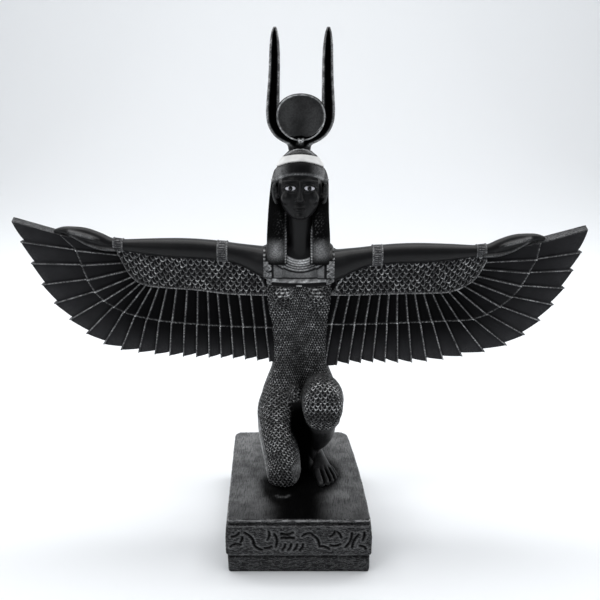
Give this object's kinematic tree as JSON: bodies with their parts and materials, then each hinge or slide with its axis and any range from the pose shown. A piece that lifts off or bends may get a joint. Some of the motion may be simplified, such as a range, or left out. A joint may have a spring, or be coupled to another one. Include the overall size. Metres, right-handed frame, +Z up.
{
  "type": "kneeling winged goddess statue",
  "caption": "Black cast statue of a kneeling winged goddess with a disc between tall horns, resting on a block plinth, for a shelf or table.",
  "frame": {"origin": "on the underside of the plinth, under the middle of the body", "axes": "+Z up; the figure faces -Y; the wings spread along X"},
  "size_m": [0.346, 0.1184, 0.3024],
  "materials": {
    "black_cast_stone": "satin black cast stone resin, with silver-grey dry brushing on the raised carving in the dressed model"
  },
  "bodies": {
    "root": {"statue": "black_cast_stone"}
  },
  "joints": []
}
